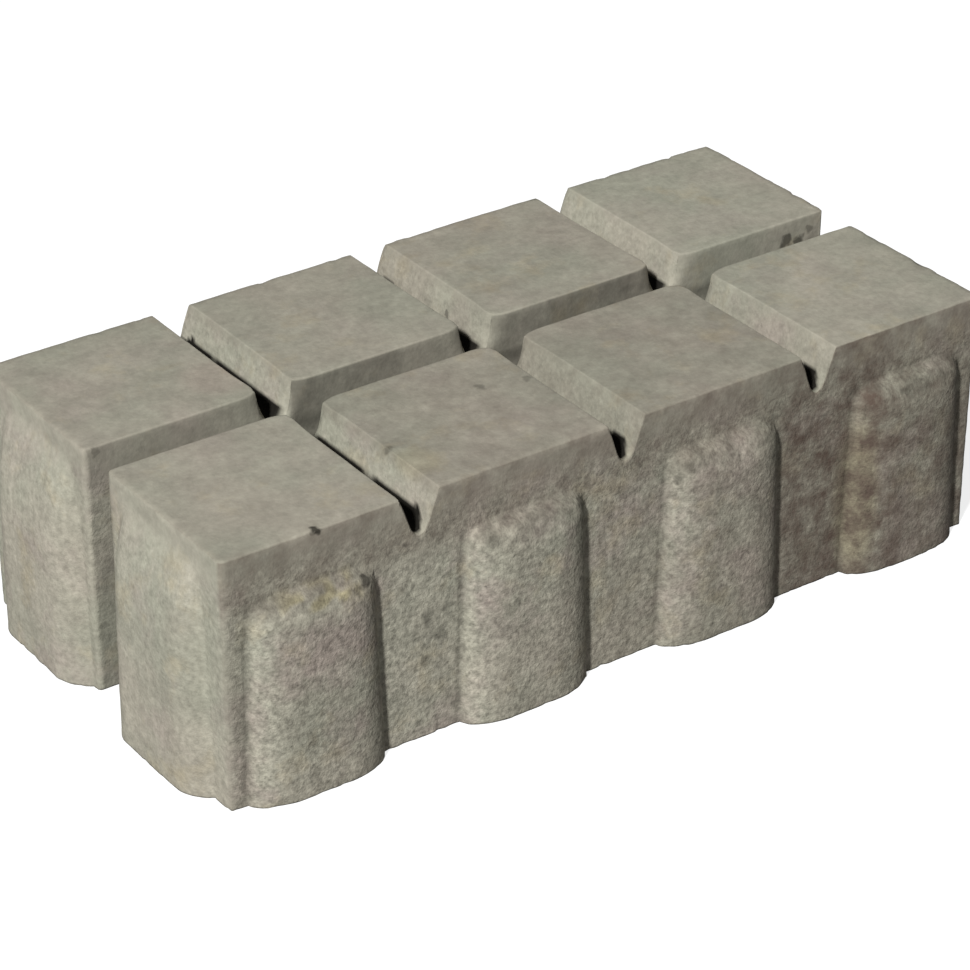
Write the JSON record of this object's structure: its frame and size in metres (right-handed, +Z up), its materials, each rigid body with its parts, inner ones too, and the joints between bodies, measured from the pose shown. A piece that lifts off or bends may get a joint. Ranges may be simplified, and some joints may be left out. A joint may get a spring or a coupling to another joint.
{
  "type": "concrete paving stone",
  "caption": "Pressed concrete paving stone with cobble-like heads in two rows, V-shaped grooves, a central channel and spacer lugs on its sides.",
  "frame": {"origin": "middle of the base that the stone lies on", "axes": "+X along the rows of heads, the long way; +Y across the rows; +Z up, out of the walking surface"},
  "size_m": [0.399, 0.208, 0.114],
  "materials": {
    "concrete": "rough, sandy"
  },
  "bodies": {
    "root": {"paving_stone": "concrete"}
  },
  "joints": []
}
